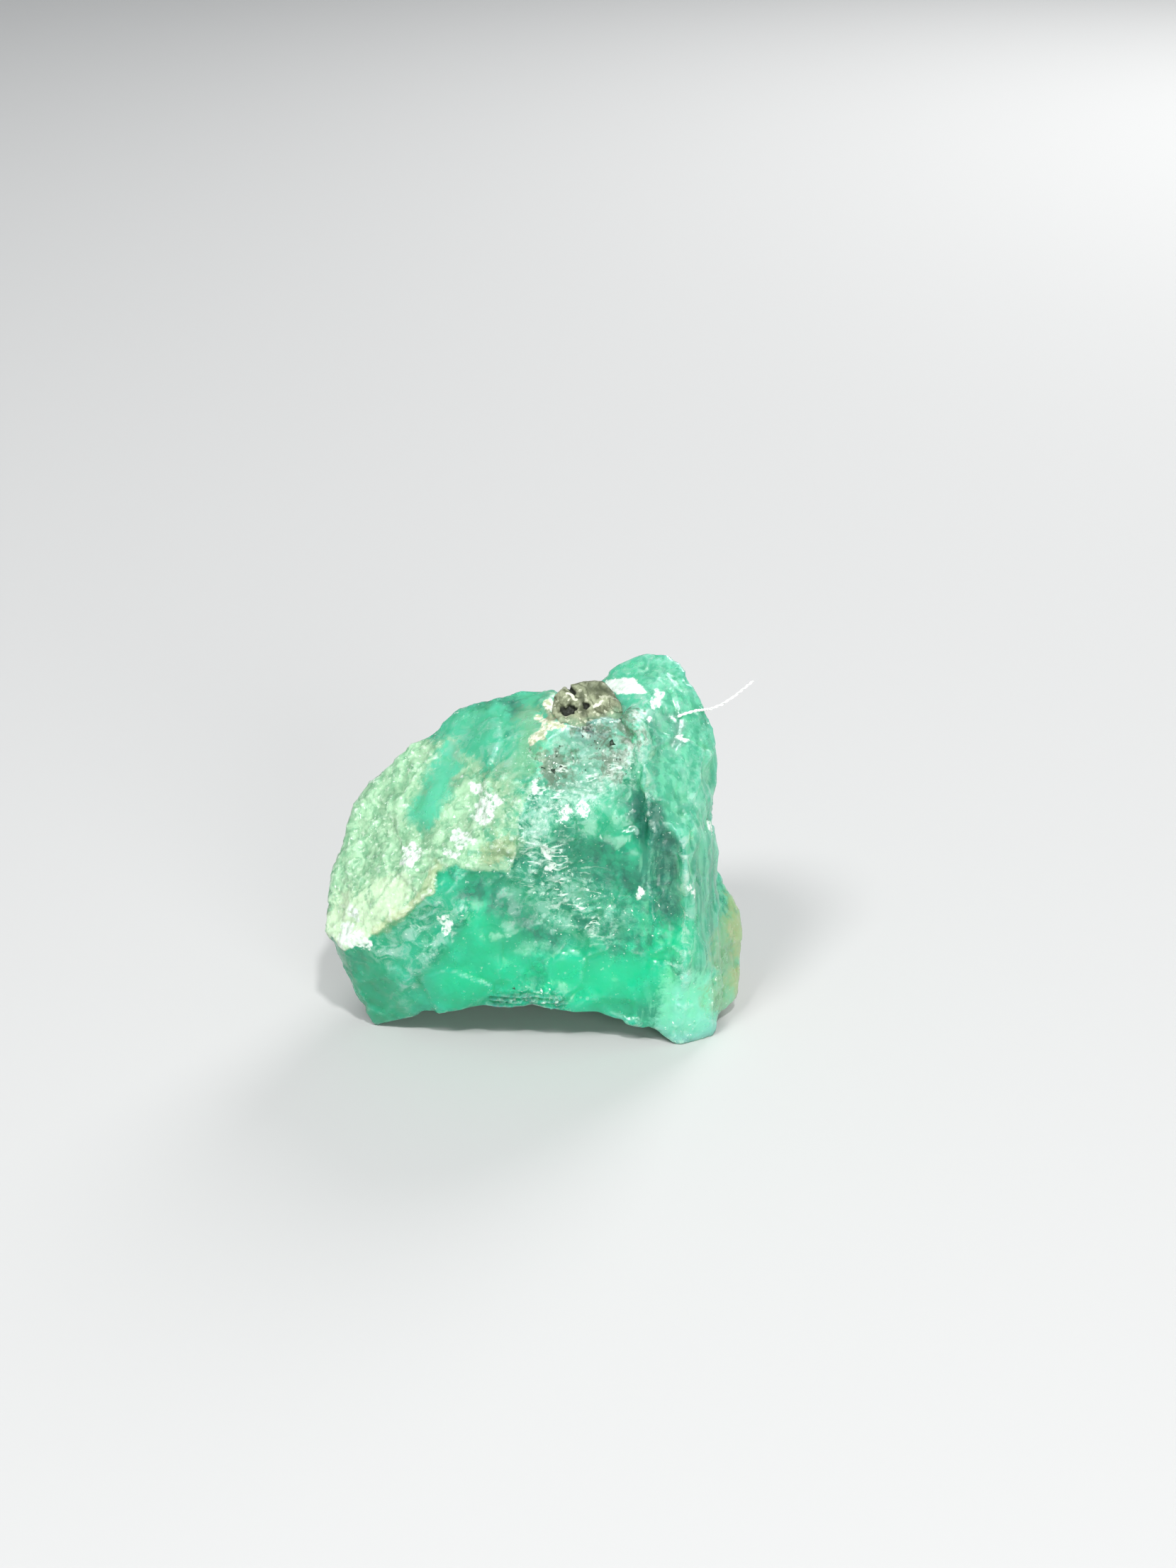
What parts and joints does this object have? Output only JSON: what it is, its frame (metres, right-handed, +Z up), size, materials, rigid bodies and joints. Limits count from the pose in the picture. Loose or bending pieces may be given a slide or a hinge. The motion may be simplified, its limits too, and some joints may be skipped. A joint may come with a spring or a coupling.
{
  "type": "raw emerald crystal",
  "caption": "Rough translucent green emerald shard, fractured and frosted, with a pale crust and a lodged mica-schist grain, resting flat on its broken base.",
  "frame": {"origin": "under the middle of the stone, on the plane of the three feet it rests on", "axes": "+Z up, the broken front face looks along -Y, +X to the right along the stone's width"},
  "size_m": [0.009, 0.0054, 0.0076],
  "materials": {
    "emerald_green": "cloudy translucent green beryl, glassy to waxy on fresh breaks, frosted white along fractures, with a pale yellow-green crust on the upper left",
    "mica_schist": "dull grey-brown mica schist with dark pits and small silvery flakes"
  },
  "bodies": {
    "root": {"emerald": "emerald_green", "schist_grain": "mica_schist"}
  },
  "joints": []
}
